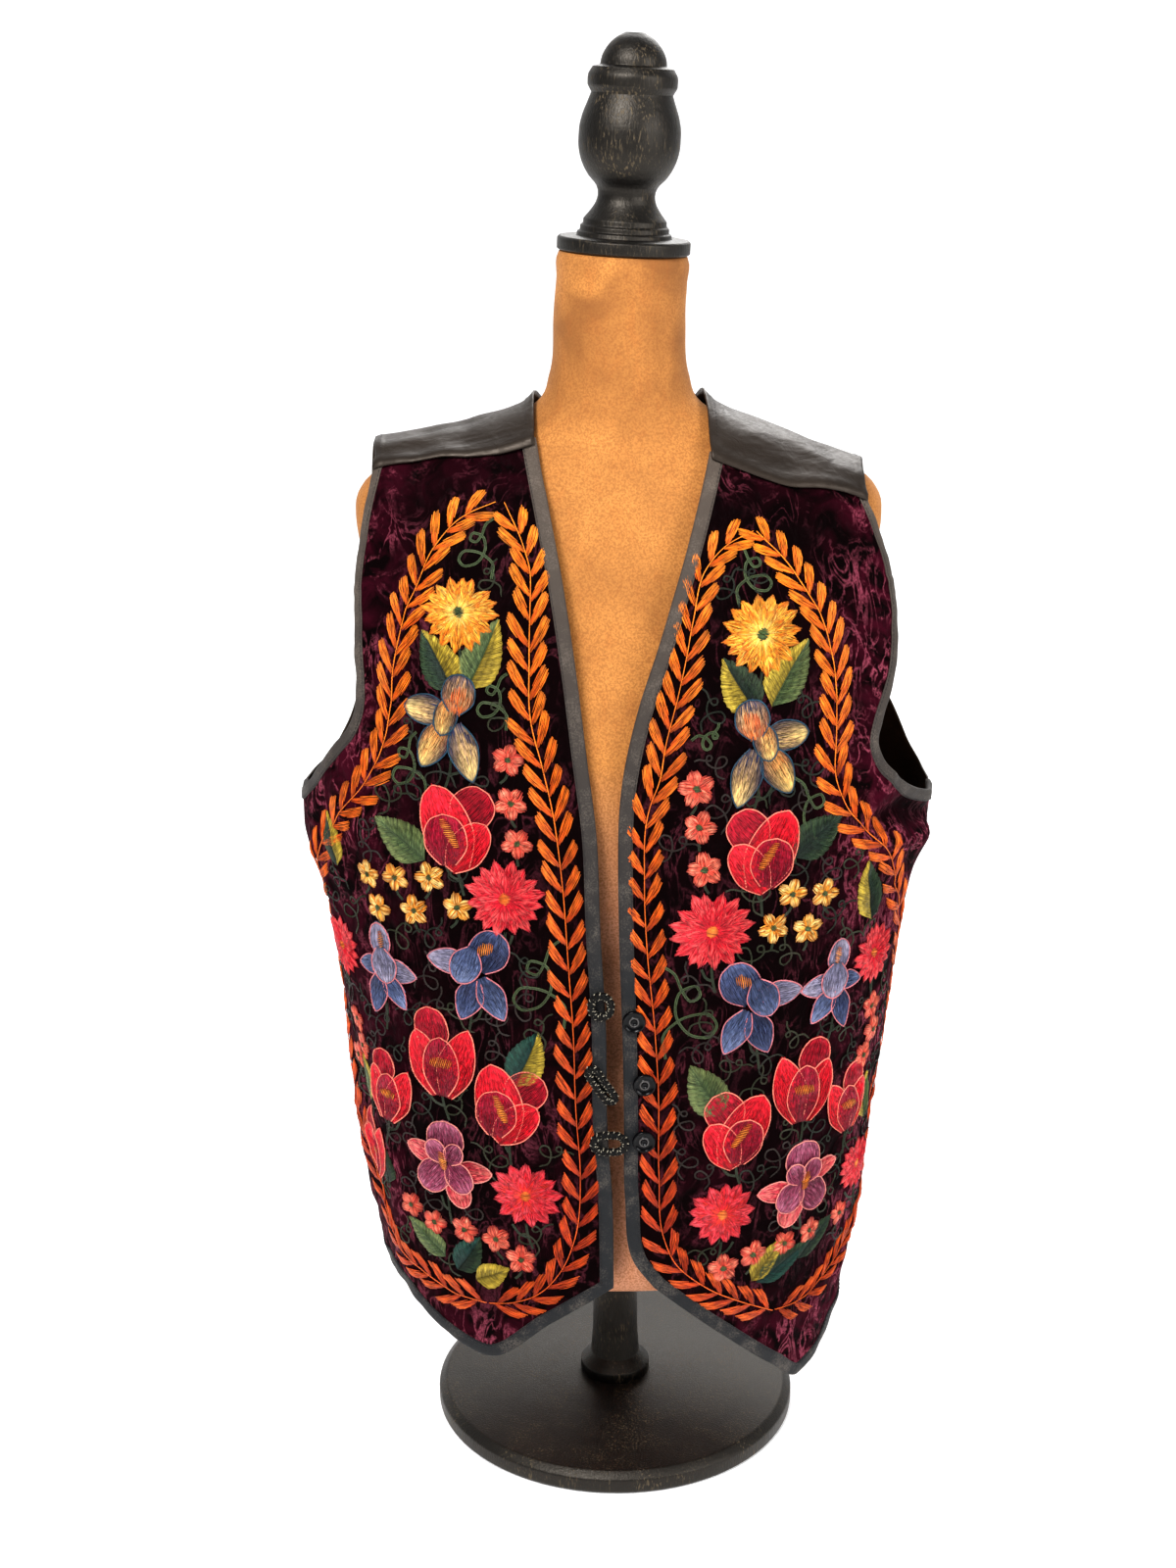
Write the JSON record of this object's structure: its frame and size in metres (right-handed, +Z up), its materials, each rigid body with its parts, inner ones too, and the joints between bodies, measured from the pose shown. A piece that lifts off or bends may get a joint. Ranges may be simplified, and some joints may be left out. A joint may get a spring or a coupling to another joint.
{
  "type": "embroidered vest on dress form",
  "caption": "Open sleeveless velvet vest with floral embroidery, bound edges and satin back, cord loops and buttons, worn on a limbless dress form with a turned finial and round base.",
  "frame": {"origin": "middle of the stand base's flat underside", "axes": "+Z up, +X to the wearer's left, -Y is the front of the vest"},
  "size_m": [0.46, 0.28, 1.0337],
  "materials": {
    "velvet": "crushed wine-black velvet with floral silk embroidery",
    "satin": "soft black satin, creased",
    "tape": "faded grey-black twill binding",
    "cord": "braided black cord with dull gold flecks",
    "button": "gloss black",
    "suede": "mottled tan suede",
    "turned_wood": "worn black paint"
  },
  "bodies": {
    "root": {"front_right": "velvet", "front_left": "velvet", "back": "satin", "binding_edge_right": "tape", "binding_edge_left": "tape", "binding_armhole_right": "tape", "binding_armhole_left": "tape", "binding_hem_back": "tape", "frog_loop_top": "cord", "frog_loop_middle": "cord", "frog_loop_bottom": "cord", "button_top": "button", "button_middle": "button", "button_bottom": "button", "dress_form": "suede", "finial": "turned_wood", "stand_post": "turned_wood", "stand_base": "turned_wood"}
  },
  "joints": []
}
